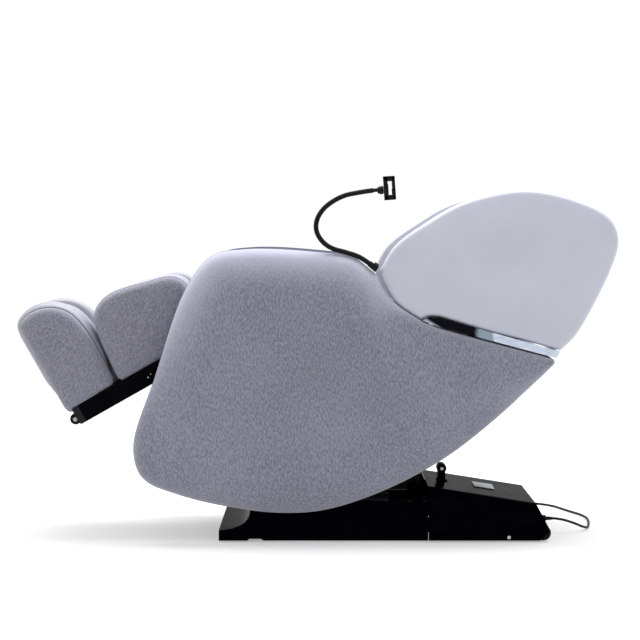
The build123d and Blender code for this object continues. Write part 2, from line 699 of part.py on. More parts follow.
def toward(a, b, distance):
    """The point that far from a on the way to b."""
    length = hypot(b[0] - a[0], b[1] - a[1])
    return a[0] + (b[0] - a[0]) * distance / length, a[1] + (b[1] - a[1]) * distance / length


def neck_socket():
    """The collar on the left armrest's end that the flexible arm turns in."""
    low, high = toward(NECK_PATH[0], NECK_PATH[1], -5), toward(NECK_PATH[0], NECK_PATH[1], 9)
    collar = bar(12, (low[0], NECK_Y, low[1]), (high[0], NECK_Y, high[1]))
    floor = toward(NECK_PATH[0], NECK_PATH[1], -1)
    past = toward(NECK_PATH[0], NECK_PATH[1], 20)
    collar -= bar(FERRULE_R + RUN, (floor[0], NECK_Y, floor[1]), (past[0], NECK_Y, past[1]))
    node("neck_socket", collar - NODES["side_panel_left"])


def gooseneck():
    bend = NECK_PATH[NECK_CUT]
    before = toward(bend, NECK_PATH[NECK_CUT - 1], NECK_GAP / 2)
    after = toward(bend, NECK_PATH[NECK_CUT + 1], NECK_GAP / 2)
    lower = neck_tube(NECK_PATH[:NECK_CUT] + [before])
    sleeve_end = toward(NECK_PATH[0], NECK_PATH[1], 30)
    starts, ends = [(x, NECK_Y, z) for x, z in (NECK_PATH[0], sleeve_end)]
    node("gooseneck_lower", lower + bar(FERRULE_R, starts, ends))
    upper = neck_tube([after] + NECK_PATH[NECK_CUT + 1 :])
    ball_x, ball_z = in_group(CLAMP, -15.6, -6)
    ball = Pos(ball_x, NECK_Y, ball_z) * Sphere(BALL_R)
    node("gooseneck_upper", upper + ball)




def phone_clamp():
    """A back plate with a socket for the neck's ball and the fixed lower jaw."""
    plate = block((-6, -22, -34), (3, 22, 12))
    socket = Pos(-9.5, 0, -6) * Rot(0, 90, 0) * Cylinder(12, 9)
    socket -= Pos(-15.6, 0, -6) * Rot(0, 90, 0) * Sphere(BALL_R + 0.05)
    guides = [block((-3, y - 6, 6), (2, y + 6, 28)) for y in (-14, 14)]
    jaw = block((3, -16, -34), (23, 16, -23))
    lip = block((15, -16, -23), (23, 16, -1))
    node("phone_clamp", CLAMP * (plate + jaw + lip + guides + socket))


def phone_clamp_jaw():
    """The sprung upper jaw, which slides up off its two guides to take a phone."""
    top = block((-6, -22, 22), (23, 22, 34))
    skirt = block((-6, -22, 12.3), (3, 22, 22))
    lip = block((15, -16, 0), (23, 16, 22))
    jaw = top + skirt + lip
    for y in (-14, 14):
        jaw -= block((-3.3, y - 6.3, 0), (2.3, y + 6.3, 28.5))
    node("phone_clamp_jaw", CLAMP * jaw)


# ---- power cord ---------------------------------------------------------------------------
CONNECTOR_LENGTH = 34
RELIEF_LENGTH = 22
CORD_ROUTE = [
    (SOCKET_X + 3.2 + CONNECTOR_LENGTH + RELIEF_LENGTH, -100, 45),
    (688, -99, 43.5),
    (710, -94, 38),
    (738, -80, 27),
    (764, -48, 13),
    (781, -6, 5.5),
    (790, 44, FLOOR_CORD_Z),
    (798, 102, FLOOR_CORD_Z),
    (805, 168, FLOOR_CORD_Z),
    (807, 236, FLOOR_CORD_Z),
    (797, 304, FLOOR_CORD_Z),
    (776, 370, FLOOR_CORD_Z),
    (757, 436, FLOOR_CORD_Z),
    (741, 500, FLOOR_CORD_Z),
    (712, 556, FLOOR_CORD_Z),
    (662, 592, FLOOR_CORD_Z),
    (602, 602, FLOOR_CORD_Z),
    (546, 592, FLOOR_CORD_Z),
]
COIL_AT = (500, 530)
COIL_MID_R = 38
PLUG_AT = (415, 520, 12.5)


def cord_radii(points):
    """Each corner's radius: 0.45 of the shorter run, over the tangent of half the turn."""
    radii = []
    for a, b, c in zip(points, points[1:], points[2:]):
        into, out = Vector(*b) - Vector(*a), Vector(*c) - Vector(*b)
        half_turn = radians(into.get_angle(out)) / 2
        radii.append(0.45 * min(into.length, out.length) / tan(half_turn))
    return radii


def power_connector():
    """The lead's connector, standing square to the inlet's face, with its tapered strain relief."""
    nose = Pos(0, 0, -4) * Box(21.5, 14, 13)
    body = Pos(0, 0, 2.5 + CONNECTOR_LENGTH / 2) * Box(25, 18, CONNECTOR_LENGTH)
    body = fillet(body.edges().filter_by(Axis.Z), 4)
    relief = Pos(0, 0, 2.5 + CONNECTOR_LENGTH) * Cone(
        6, CORD_R + 0.6, RELIEF_LENGTH, align=(Align.CENTER, Align.CENTER, Align.MIN)
    )
    node("power_connector", INLET_PLANE * (nose + body + relief))


def power_cord():
    path = FilletPolyline(*CORD_ROUTE, radius=cord_radii(CORD_ROUTE))
    tube = sweep(Plane(path @ 0, z_dir=path % 0) * Circle(CORD_R), path)
    radii = [round(r) for r in cord_radii(CORD_ROUTE)]
    share = tube.volume / (pi * CORD_R**2 * path.length)
    print("cord radii", radii, "length", round(path.length), "volume share", round(share, 4))
    node("power_cord", tube)
    ring = Pos(*COIL_AT, CORD_R * 4 / 2 + 0.5) * Cylinder(COIL_MID_R + 3 * CORD_R, CORD_R * 4)
    node("power_cord_coil", ring)


def power_plug():
    grip = Pos(*PLUG_AT) * Box(52, 30, 24)
    grip = fillet(grip.edges().filter_by(Axis.X), 7)
    pins = [Pos(PLUG_AT[0] - 35, PLUG_AT[1] + y, PLUG_AT[2]) * Rot(0, 90, 0) * Cylinder(2.4, 18) for y in (-9.5, 9.5)]
    node("power_plug", [grip] + pins)


# ---- build --------------------------------------------------------------------------------
def main():
    base_frame()
    pivot_bushes()
    base_skirt()
    rear_cover()
    power_inlet()
    rocker_switch()
    rubber_feet()
    cover_screws()
    pump_and_control()
    stop_roller()
    transport_wheels()
    tilt_actuator()
    tilt_actuator_rod()
    seat_frame()
    side_panels()
    arm_pads()
    hood_wings()
    trim_strips()
    hood_back()
    seat_and_back()
    underbody_cover()
    track_rails()
    carriage_frame()
    kneading_shaft()
    massage_arms()
    leg_frame()
    leg_pads()
    foot_frame()
    foot_end_caps()
    glide_rollers()
    foot_roller()
    leg_actuator()
    leg_actuator_rod()
    neck_socket()
    gooseneck()
    phone_clamp()
    phone_clamp_jaw()
    power_connector()
    power_cord()
    power_plug()
    os.makedirs("parts", exist_ok=True)
    for name, shape in NODES.items():
        export_step(shape, f"parts/{name}.step")
    print(len(NODES), "nodes")


main()
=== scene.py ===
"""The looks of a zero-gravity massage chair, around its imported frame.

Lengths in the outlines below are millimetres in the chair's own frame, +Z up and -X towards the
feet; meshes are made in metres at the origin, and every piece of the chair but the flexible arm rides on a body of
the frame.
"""

from math import cos, pi, radians, sin

import bmesh
import bpy
import numpy as np
from mathutils import Matrix, Vector
from mathutils.geometry import delaunay_2d_cdt


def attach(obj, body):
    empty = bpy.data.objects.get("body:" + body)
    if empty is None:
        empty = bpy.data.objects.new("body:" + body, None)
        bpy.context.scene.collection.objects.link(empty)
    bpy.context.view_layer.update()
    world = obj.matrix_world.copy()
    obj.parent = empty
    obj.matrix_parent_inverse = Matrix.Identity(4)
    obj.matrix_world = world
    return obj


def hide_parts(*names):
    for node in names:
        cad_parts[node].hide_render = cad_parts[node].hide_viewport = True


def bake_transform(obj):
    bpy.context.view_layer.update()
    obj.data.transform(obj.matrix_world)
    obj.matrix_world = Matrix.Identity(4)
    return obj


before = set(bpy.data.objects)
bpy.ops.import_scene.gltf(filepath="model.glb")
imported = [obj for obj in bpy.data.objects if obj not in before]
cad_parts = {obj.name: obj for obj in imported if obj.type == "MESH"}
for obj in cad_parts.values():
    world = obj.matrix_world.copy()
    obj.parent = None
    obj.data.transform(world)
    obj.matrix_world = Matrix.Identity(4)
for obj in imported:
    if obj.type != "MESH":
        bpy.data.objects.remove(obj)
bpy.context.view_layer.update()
MM = 0.001

# ---- the chair's frame, as the design has it ------------------------------------------------
PANEL_OUT, PANEL_IN, PANEL_EDGE, PANEL_CROWN = 360, 290, 26, 46
WING_OUT, WING_IN, WING_EDGE, WING_CROWN = 338, 262, 12, 34
LEG_HALF, LINING_HALF = 235, 206
PIPING_R = 1.1
CUSHION_HALF = 224
NECK_Y = -300


def group(origin, rise):
    """A group's frame: its X axis rises by that many degrees, seen from the chair's left."""
    return Matrix.Translation((origin[0], 0, origin[1])) @ Matrix.Rotation(radians(-rise), 4, "Y")


LEG = group((-300, 574), 29.5)
SEAT = group((144, 434), -25)
BACK = group((144, 434), 40)
CHAIR = Matrix.Identity(4)
SIDES = (("left", -1), ("right", 1))


# ---- node trees ----------------------------------------------------------------------------
class Wire:
    """An output socket that takes arithmetic."""

    def __init__(self, paint, socket):
        self.paint, self.socket = paint, socket

    def math(self, operation, other):
        return self.paint.add("ShaderNodeMath", [self, other], operation=operation)

    def __add__(self, other):
        return self.math("ADD", other)

    def __rsub__(self, other):
        return (self * -1) + other

    def __mul__(self, other):
        return self.math("MULTIPLY", other)

    def over(self, low, high):
        """0 at low, 1 at high, smooth between."""
        return self.paint.add("ShaderNodeMapRange", [self, low, high], interpolation_type="SMOOTHSTEP")


class Paint:
    """One material, built up node by node."""

    def __init__(self, name, colour, roughness=0.5, metallic=0.0, **fixed):
        self.material = bpy.data.materials.new(name)
        self.material.use_nodes = True
        self.tree = self.material.node_tree
        self.shader = self.tree.nodes["Principled BSDF"]
        self.material.diffuse_color = (*colour, 1)
        self.set("Base Color", (*colour, 1))
        self.set("Roughness", roughness)
        self.set("Metallic", metallic)
        for socket, value in fixed.items():
            self.set(socket.replace("_", " "), value)

    def set(self, socket, value):
        target = self.shader.inputs[socket]
        if isinstance(value, Wire):
            self.tree.links.new(value.socket, target)
        else:
            target.default_value = value

    def add(self, kind, values=(), output=0, **settings):
        node = self.tree.nodes.new(kind)
        for name, value in settings.items():
            setattr(node, name, value)
        for slot, value in enumerate(values):
            if isinstance(value, Wire):
                self.tree.links.new(value.socket, node.inputs[slot])
            elif value is not None:
                node.inputs[slot].default_value = value
        return Wire(self, node.outputs[output])

    def place(self, scale=(1, 1, 1), turn=0.0):
        """Object coordinates in metres, scaled, and turned about Y by that many degrees."""
        where = self.add("ShaderNodeTexCoord", output=3)
        turned = self.add("ShaderNodeMapping", [where, None, (0, radians(turn), 0)])
        return self.add("ShaderNodeMapping", [turned, None, None, scale])

    def noise(self, where, scale, detail=3, roughness=0.5):
        return self.add("ShaderNodeTexNoise", [where, None, scale, detail, roughness])

    def cells(self, where, scale):
        return self.add("ShaderNodeTexVoronoi", [where, None, scale], feature="F1")

    def axis(self, where, index):
        return self.add("ShaderNodeSeparateXYZ", [where], output=index)

    def mix(self, amount, low, high):
        """A colour between two, each a colour or a wire."""
        node = self.tree.nodes.new("ShaderNodeMix")
        node.data_type = "RGBA"
        for slot, value in ((0, amount), (6, low), (7, high)):
            if isinstance(value, Wire):
                self.tree.links.new(value.socket, node.inputs[slot])
            else:
                node.inputs[slot].default_value = value if slot == 0 else (*value, 1)
        return Wire(self, node.outputs[2])

    def bump(self, height, depth, strength=1.0):
        node = self.tree.nodes.new("ShaderNodeBump")
        node.inputs["Strength"].default_value = strength
        node.inputs["Distance"].default_value = depth
        self.tree.links.new(height.socket, node.inputs["Height"])
        self.set("Normal", Wire(self, node.outputs["Normal"]))


def cloth(name, dark, light, turn=0.0, rib=(300, 300, 90), sheen=0.5, turned=0.0):
    """A short-pile chenille: fine broken ribs along one way, flecked light and dark.

    Where the cloth turns inwards from the plane |y| = turned, near the top, a paler colour is painted in: a painted
    highlight standing in for the overhead light on the top rim.
    """
    paint = Paint(name, light, 0.95, Sheen_Weight=sheen, Sheen_Roughness=0.5, Sheen_Tint=(0.9, 0.9, 1, 1))
    paint.set("Specular IOR Level", 0.15)
    ribs = paint.noise(paint.place(rib, turn), 1.0, 2, 0.6)
    fine = paint.noise(paint.place([2.2 * v for v in rib], turn), 1.0, 1, 0.5)
    worn = paint.noise(paint.place((5, 5, 5)), 1.0, 3, 0.5)
    height = ribs * 0.62 + fine * 0.38
    shade = (height + worn * 0.12).over(0.44, 0.68)
    flecks_and_painted_light = paint.mix(shade, dark, light)
    # Painted highlight: a paler colour laid over the top rim, standing in for the light falling on it from above.
    if turned:
        where = paint.place((1, 1, 1))
        across, up = paint.axis(where, 1), paint.axis(where, 2)
        rim = (turned**2 - across * across).over(0.001, 0.028) * up.over(0.3, 0.8)
        painted_top_light = [1.75 * c for c in light]
        flecks_and_painted_light = paint.mix(rim * 0.75, flecks_and_painted_light, painted_top_light)
    paint.set("Base Color", flecks_and_painted_light)
    paint.bump(height, 0.0016, 0.7)
    return paint.material


def leather(name, dark, light, roughness=0.42, grain=650):
    """A smooth coated leather with a fine pebble and faint broad creases."""
    paint = Paint(name, light, roughness, Coat_Weight=0.06, Coat_Roughness=0.35)
    paint.set("Specular IOR Level", 0.4)
    where = paint.place((1, 1, 1))
    pebble = paint.cells(where, grain)
    broad = paint.noise(where, 9, 4, 0.55)
    paint.set("Base Color", paint.mix(broad.over(0.3, 0.7), dark, light))
    paint.set("Roughness", broad * 0.12 + (roughness - 0.06))
    paint.bump(pebble + broad * 0.5, 0.0004, 0.35)
    return paint.material


def plastic(name, colour, roughness, speck=0.0, specular=0.3):
    """Moulded plastic with a fine spark texture and slightly uneven gloss."""
    paint = Paint(name, colour, roughness)
    paint.set("Specular IOR Level", specular)
    where = paint.place((1, 1, 1))
    uneven = paint.noise(where, 22, 3)
    spark = paint.noise(where, 1500, 2)
    lighter = [min(1, c * 1.35 + 0.0006) for c in colour]
    paint.set("Base Color", paint.mix(uneven.over(0.35, 0.7), colour, lighter))
    paint.set("Roughness", uneven * 0.14 + (roughness - 0.07))
    if speck:
        paint.bump(spark, 0.0003, speck)
    return paint.material


def metal(name, colour, roughness, brush):
    """Bare metal with fine drawing marks along one way."""
    paint = Paint(name, colour, roughness, 1.0)
    marks = paint.noise(paint.place(brush), 60, 3)
    darker = [c * 0.8 for c in colour]
    paint.set("Base Color", paint.mix(marks, darker, colour))
    paint.set("Roughness", marks * 0.2 + (roughness - 0.08))
    paint.bump(marks, 0.0001, 0.25)
    return paint.material


def trim_chrome():
    """Polished dark chrome with its reflections painted into its colour along the strip: a painted light glint at
    its pointed tip, black beyond it, then a smoky and at last a bright, clouded painted reflection.
    """
    paint = Paint("trim_chrome", (0.7, 0.74, 0.86), 0.12, 0.9)
    where = paint.place((1, 1, 1))
    along, height = paint.axis(where, 0), paint.axis(where, 2)
    wavy = paint.noise(where, 30, 3) * 0.024
    # Painted reflections: the pale tip, the black and smoky stretches and the bright clouded rear are colours laid
    # along the strip for what the chrome mirrors.
    past_tip = (along + height * 1.6).over(1.292, 1.308)
    smoky_reflection = (along + wavy).over(0.438, 0.456)
    bright_reflection = (along + wavy + height * 0.2).over(0.598, 0.612)
    reflected_clouds = paint.noise(paint.place((9, 9, 30)), 3, 3).over(0.3, 0.75)
    rear_reflection = paint.mix(bright_reflection, (0.3, 0.38, 0.45), paint.mix(reflected_clouds, (0.6, 0.68, 0.82), (0.8, 0.87, 1.0)))
    body = paint.mix(smoky_reflection, (0.003, 0.002, 0.006), rear_reflection)
    paint.set("Base Color", paint.mix(past_tip, (0.42, 0.5, 0.56), body))
    paint.set("Roughness", smoky_reflection * 0.12 + (1 - past_tip) * 0.1 + 0.16)
    return paint.material


# ---- materials -----------------------------------------------------------------------------
# The side panels' cloth carries a painted highlight along its top rim, near the plane |y| = turned.
PANEL_CLOTH = cloth("panel_cloth", (0.15, 0.155, 0.195), (0.27, 0.275, 0.335), turn=8, turned=0.36)
LEG_CLOTH = cloth("leg_cloth", (0.15, 0.15, 0.19), (0.27, 0.27, 0.325), turn=-29.5, rib=(320, 320, 150))
HOOD_LEATHER = leather("hood_leather", (0.51, 0.525, 0.605), (0.53, 0.545, 0.625), 0.4)
LINING = leather("lining_leather", (0.3, 0.3, 0.355), (0.345, 0.345, 0.405), 0.46)
PIPING = leather("piping", (0.36, 0.35, 0.38), (0.4, 0.39, 0.42), 0.5)
SEAM = plastic("seam_thread", (0.1, 0.1, 0.125), 0.8)
BASE_BLACK = plastic("base_black", (0.0008, 0.0008, 0.0015), 0.2, 0.05, specular=0.0006)
BLACK = plastic("black_plastic", (0.003, 0.003, 0.004), 0.4, 0.2, specular=0.16)
CAP_BLACK = plastic("cap_black", (0.0045, 0.0045, 0.008), 0.36, 0.25, specular=0.2)
RUBBER = plastic("rubber", (0.003, 0.003, 0.0035), 0.6, 0.3, specular=0.16)
FRAME_BLACK = plastic("frame_black", (0.001, 0.001, 0.002), 0.38, 0.1, specular=0.02)
STEEL = metal("bright_steel", (0.62, 0.62, 0.64), 0.3, (4, 60, 60))
PALE_PLASTIC = plastic("pale_plastic", (0.5, 0.48, 0.44), 0.45, 0.2)
LABEL = plastic("blank_label", (0.42, 0.45, 0.47), 0.5)
CHROME_TRIM = trim_chrome()


# ---- mesh helpers --------------------------------------------------------------------------
def finished(name, bm, material, body):
    """Turns a bmesh in millimetres into a piece in metres."""
    bmesh.ops.recalc_face_normals(bm, faces=bm.faces)
    bmesh.ops.scale(bm, vec=(MM, MM, MM), verts=bm.verts)
    mesh = bpy.data.meshes.new(name)
    bm.to_mesh(mesh)
    bm.free()
    for face in mesh.polygons:
        face.use_smooth = True
    mesh.materials.append(material)
    piece = bpy.data.objects.new(name, mesh)
    bpy.context.scene.collection.objects.link(piece)
    if body:
        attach(piece, body)
    return piece


def subdivided(piece):
    modifier = piece.modifiers.new("Subdivision", "SUBSURF")
    modifier.levels = modifier.render_levels = 1
    return piece


def curve_through(points, steps=12, closed=False):
    """Points along a smooth curve through the given ones (centripetal Catmull-Rom)."""
    pts = [Vector(p) for p in points]
    count = len(pts)
    out = []
    last = count if closed else count - 1
    for i in range(last):
        b, c = pts[i], pts[(i + 1) % count]
        a = pts[(i - 1) % count] if closed or i > 0 else b + (b - c)
        d = pts[(i + 2) % count] if closed or i + 2 < count else c + (c - b)
        knots = [0.0]
        for p, q in ((a, b), (b, c), (c, d)):
            knots.append(knots[-1] + max((q - p).length, 1e-6) ** 0.5)
        t0, t1, t2, t3 = knots
        for s in range(steps):
            t = t1 + (t2 - t1) * s / steps
            ab = a.lerp(b, (t - t0) / (t1 - t0))
            bc = b.lerp(c, (t - t1) / (t2 - t1))
            cd = c.lerp(d, (t - t2) / (t3 - t2))
            abc = ab.lerp(bc, (t - t0) / (t2 - t0))
            bcd = bc.lerp(cd, (t - t1) / (t3 - t1))
            out.append(abc.lerp(bcd, (t - t1) / (t2 - t1)))
    if not closed:
        out.append(pts[-1])
    return out


def joined(*runs):
    """One closed outline from runs that each start where the one before ends."""
    out = []
    for run in runs:
        out += list(run)[:-1]
    return out


def even(points, spacing):
    """The closed outline again, with points evenly spaced along it."""
    lengths = [(points[(i + 1) % len(points)] - p).length for i, p in enumerate(points)]
    total = sum(lengths)
    count = max(16, round(total / spacing))
    out, index, passed = [], 0, 0.0
    for k in range(count):
        target = total * k / count
        while passed + lengths[index] < target:
            passed += lengths[index]
            index += 1
        share = (target - passed) / max(lengths[index], 1e-9)
        out.append(points[index].lerp(points[(index + 1) % len(points)], share))
    return out


def inset(points, distance, rounds=6):
    """The outline moved inwards, evened out a little so that corners don't fold over."""
    area = sum(p.x * q.y - q.x * p.y for p, q in zip(points, points[1:] + points[:1]))
    turn = 1 if area > 0 else -1
    out = list(points)
    for _ in range(rounds):
        moved = []
        for i, p in enumerate(out):
            along = (out[(i + 1) % len(out)] - out[i - 1]).normalized()
            inward = Vector((-along.y, along.x)) * turn
            moved.append(p + inward * distance / rounds)
        out = [
            (moved[i - 1] + 2 * p + moved[(i + 1) % len(moved)]) / 4 if distance > 14 else p
            for i, p in enumerate(moved)
        ]
    return out


def depths(points, outline):
    """How far each point lies from the outline's nearest stretch, in millimetres."""
    starts = np.array([(p.x, p.y) for p in outline])
    runs = np.roll(starts, -1, axis=0) - starts
    at = np.array([(p[0], p[1]) for p in points])
    best = np.full(len(at), 1e9)
    for start, run in zip(starts, runs):
        share = np.clip(((at - start) @ run) / max(run @ run, 1e-9), 0, 1)
        best = np.minimum(best, np.hypot(*(at - start - share[:, None] * run).T))
    return best


def filled_outline(outline, edge, spacing):
    """A triangle mesh that fills the outline, finer where the rim is rounded: points, faces, depths."""
    points = list(outline)
    for share in (0.06, 0.2, 0.42, 0.7, 1.0):
        ring = inset(outline, edge * share, 3)
        points += [p for p, d in zip(ring, depths(ring, outline)) if d > 0.9 * edge * share]
    xs, zs = [p.x for p in outline], [p.y for p in outline]
    grid = []
    for i in range(int((max(xs) - min(xs)) / spacing) + 1):
        for k in range(int((max(zs) - min(zs)) / spacing) + 1):
            offset = 0.5 * spacing * (k % 2)
            grid.append(Vector((min(xs) + i * spacing + offset, min(zs) + k * spacing)))
    points += [p for p, d in zip(grid, depths(grid, outline)) if d > edge + 0.4 * spacing]
    count = len(outline)
    rim = [(i, (i + 1) % count) for i in range(count)]
    verts, _, faces, *_ = delaunay_2d_cdt(points, rim, [], 1, 0.01)
    return verts, faces, depths(verts, outline)


FLAT_REACH = 170  # how far from a hard strip a crown has grown to its full height


def pad_shell(
    name, outline, inner, outer, edge, crown, material, body, place=CHAIR, reach=160, spacing=15, flat=None
):
    """A padded shell over an outline in X and Z, from its inner side to its crowned outer side.

    edge is the radius of the rim's rounding, and crown how far the middle stands out, over reach.
    The crown fades out towards the line flat, where the shell meets a hard strip.
    """
    side = 1 if outer > inner else -1
    verts, faces, deep = filled_outline(outline, edge, spacing)
    away = np.clip(depths(verts, flat) / FLAT_REACH, 0, 1) if flat else np.ones(len(verts))
    bm = bmesh.new()
    front = []
    for p, d, fade in zip(verts, deep, away):
        rim = edge - (edge**2 - max(edge - d, 0) ** 2) ** 0.5
        swell = crown * fade**2 * (3 - 2 * fade) * (1 - min(d / reach, 1)) ** 2
        front.append(bm.verts.new(place @ Vector((p.x, outer - side * (rim + swell), p.y))))
    for face in faces:
        bm.faces.new([front[i] for i in face])
    count = len(outline)
    order = front[:count]
    for y, shrink in ((inner + side * 3, 0), (inner, 4)):
        ring = [bm.verts.new(place @ Vector((p.x, y, p.y))) for p in inset(outline, shrink, 1)]
        for i in range(count):
            j = (i + 1) % count
            bm.faces.new((order[i], order[j], ring[j], ring[i]))
        order = ring
    bm.faces.new(order)
    return finished(name, bm, material, body)


def loft(name, loops, material, body, place=CHAIR):
    """A skin over loops of equally many points, closed at both ends."""
    bm = bmesh.new()
    rings = [[bm.verts.new(place @ Vector(p)) for p in loop] for loop in loops]
    for a, b in zip(rings, rings[1:]):
        for i in range(len(a)):
            j = (i + 1) % len(a)
            bm.faces.new((a[i], a[j], b[j], b[i]))
    bm.faces.new(rings[0])
    bm.faces.new(rings[-1])
    return finished(name, bm, material, body)


def tube(name, points, radius, material, body, closed=False):
    """A round cord through points in millimetres."""
    data = bpy.data.curves.new(name, "CURVE")
    data.dimensions = "3D"
    data.bevel_depth = radius * MM
    data.bevel_resolution = 2
    data.use_fill_caps = True
    spline = data.splines.new("POLY")
    spline.points.add(len(points) - 1)
    for p, co in zip(spline.points, points):
        p.co = (*(Vector(co) * MM), 1)
    spline.use_cyclic_u = closed
    spline.use_smooth = True
    data.materials.append(material)
    piece = bpy.data.objects.new(name, data)
    bpy.context.scene.collection.objects.link(piece)
    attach(piece, body)
    return piece


def rounded_box(bm, low, high, place=CHAIR, soft=6, segments=3):
    """A box with rounded edges, added to a bmesh in millimetres."""
    size = [h - l for l, h in zip(low, high)]
    middle = [(h + l) / 2 for l, h in zip(low, high)]
    made = bmesh.ops.create_cube(bm, size=1)["verts"]
    bmesh.ops.scale(bm, vec=size, verts=made)
    bmesh.ops.translate(bm, vec=middle, verts=made)
    edges = list({e for v in made for e in v.link_edges})
    soft = min(soft, 0.48 * min(size))
    done = bmesh.ops.bevel(bm, geom=edges, offset=soft, segments=segments, profile=0.5, affect="EDGES")
    verts = {v for f in done["faces"] for v in f.verts}
    everything = set()
    queue = list(verts)
    while queue:
        v = queue.pop()
        if v in everything:
            continue
        everything.add(v)
        queue += [e.other_vert(v) for e in v.link_edges]
    bmesh.ops.transform(bm, matrix=place, verts=list(everything))


def disc(bm, centre, radius, width, axis="Y", place=CHAIR, segments=48, soft=2):
    """A wheel or button with softened rims, its middle at centre."""
    turn = {"Y": Matrix.Rotation(pi / 2, 4, "X"), "X": Matrix.Rotation(pi / 2, 4, "Y"), "Z": Matrix.Identity(4)}
    made = bmesh.ops.create_cone(
        bm, cap_ends=True, segments=segments, radius1=radius, radius2=radius, depth=width
    )["verts"]
    rims = [e for e in {e for v in made for e in v.link_edges} if len(e.link_faces) == 2]
    rims = [e for e in rims if any(len(f.verts) > 4 for f in e.link_faces)]
    done = bmesh.ops.bevel(bm, geom=rims, offset=soft, segments=3, profile=0.5, affect="EDGES")
    verts = {v for f in done["faces"] for v in f.verts} | {v for v in made if v.is_valid}
    bmesh.ops.transform(bm, matrix=place @ Matrix.Translation(centre) @ turn[axis], verts=list(verts))


# ---- camera, light and floor ---------------------------------------------------------------
EYE = Vector((0, -6.5, 0.88))
PITCH = 2.36  # degrees down
FOCAL = 125.6
OPEN_SIDE = 0.26  # brightness of the cove towards the camera
OVERHEAD = 0.75  # how much brighter the cove is straight above
FLOOR_GREY = 0.55
FLOOR_GLOW = 0.34
FLOOR_HALF = 30000
TOP_LIGHT_POWER = 128


def camera():
    data = bpy.data.cameras.new("camera")
    data.lens = FOCAL
    data.sensor_width = 36
    eye = bpy.data.objects.new("camera", data)
    eye.location = EYE
    eye.rotation_euler = (radians(90 - PITCH), 0, 0)
    bpy.context.scene.collection.objects.link(eye)
    bpy.context.scene.camera = eye


def area_light(name, place, target, size, power):
    data = bpy.data.lights.new(name, "AREA")
    data.shape = "RECTANGLE"
    data.size, data.size_y = size
    data.energy = power
    light = bpy.data.objects.new(name, data)
    light.location = place
    light.rotation_euler = (Vector(target) - Vector(place)).to_track_quat("-Z", "Y").to_euler()
    bpy.context.scene.collection.objects.link(light)


def studio():
    """A white cove, brighter above and behind than on the open side, with a big soft light overhead."""
    world = bpy.data.worlds.new("studio")
    world.use_nodes = True
    tree = world.node_tree
    links = tree.links.new
    direction = tree.nodes.new("ShaderNodeTexCoord").outputs["Generated"]
    parts = tree.nodes.new("ShaderNodeSeparateXYZ")
    links(direction, parts.inputs[0])

    def ramp(value, low, high, dim, full):
        node = tree.nodes.new("ShaderNodeMapRange")
        node.interpolation_type = "SMOOTHSTEP"
        links(value, node.inputs[0])
        for slot, number in enumerate((low, high, dim, full), 1):
            node.inputs[slot].default_value = number
        return node.outputs[0]

    def both(operation, first, second):
        node = tree.nodes.new("ShaderNodeMath")
        node.operation = operation
        for slot, value in enumerate((first, second)):
            links(value, node.inputs[slot])
        return node.outputs[0]

    around = ramp(parts.outputs["Y"], -0.7, 0.5, OPEN_SIDE, 1.0)
    above = ramp(parts.outputs["Z"], -0.1, 0.9, 0.0, OVERHEAD)
    seen = tree.nodes.new("ShaderNodeLightPath").outputs["Is Camera Ray"]
    backdrop = both("MAXIMUM", both("ADD", around, above), seen)
    links(backdrop, tree.nodes["Background"].inputs["Strength"])
    tree.nodes["Background"].inputs["Color"].default_value = (1, 1, 1, 1)
    bpy.context.scene.world = world
    bpy.context.scene.view_settings.view_transform = "Standard"
    area_light("top", (0.1, 0.5, 3.4), (0.1, 0.3, 0.4), (3.6, 1.8), TOP_LIGHT_POWER)
    bm = bmesh.new()
    bmesh.ops.create_grid(bm, x_segments=1, y_segments=1, size=FLOOR_HALF)
    paint = Paint("floor", (FLOOR_GREY, FLOOR_GREY, FLOOR_GREY), 0.9)
    paint.set("Emission Color", (1, 1, 1, 1))
    paint.set("Emission Strength", FLOOR_GLOW)
    floor = finished("floor", bm, paint.material, None)


# ---- mains cord ----------------------------------------------------------------------------
CORD_D = 7
FLOOR_Z = CORD_D / 2 + 0.5
CORD_ROUTE = [
    (671.2, -100, 45),
    (688, -99, 43.5),
    (710, -94, 38),
    (738, -80, 27),
    (764, -48, 13),
    (781, -6, 5.5),
    (790, 44, FLOOR_Z),
    (798, 102, FLOOR_Z),
    (805, 168, FLOOR_Z),
    (807, 236, FLOOR_Z),
    (797, 304, FLOOR_Z),
    (776, 370, FLOOR_Z),
    (757, 436, FLOOR_Z),
    (741, 500, FLOOR_Z),
    (712, 556, FLOOR_Z),
    (662, 592, FLOOR_Z),
    (602, 602, FLOOR_Z),
    (546, 592, FLOOR_Z),
]
COIL_AT = (500, 530)
COIL_MID_R = 38
COIL_LANE = 3.6  # half the distance between two turns side by side
COIL_LIFT = 7.1


def coil_points():
    """The put-away length: two layers, each of two turns side by side."""
    out = []
    wide, narrow = COIL_MID_R + COIL_LANE, COIL_MID_R - COIL_LANE
    low, high = FLOOR_Z, FLOOR_Z + COIL_LIFT
    for radius, z in ((wide, low), (narrow, low), (narrow, high), (wide, high)):
        for k in range(14):
            angle = radians(70) + 2 * pi * k / 16
            out.append((COIL_AT[0] + radius * cos(angle), COIL_AT[1] + radius * sin(angle), z))
    return out


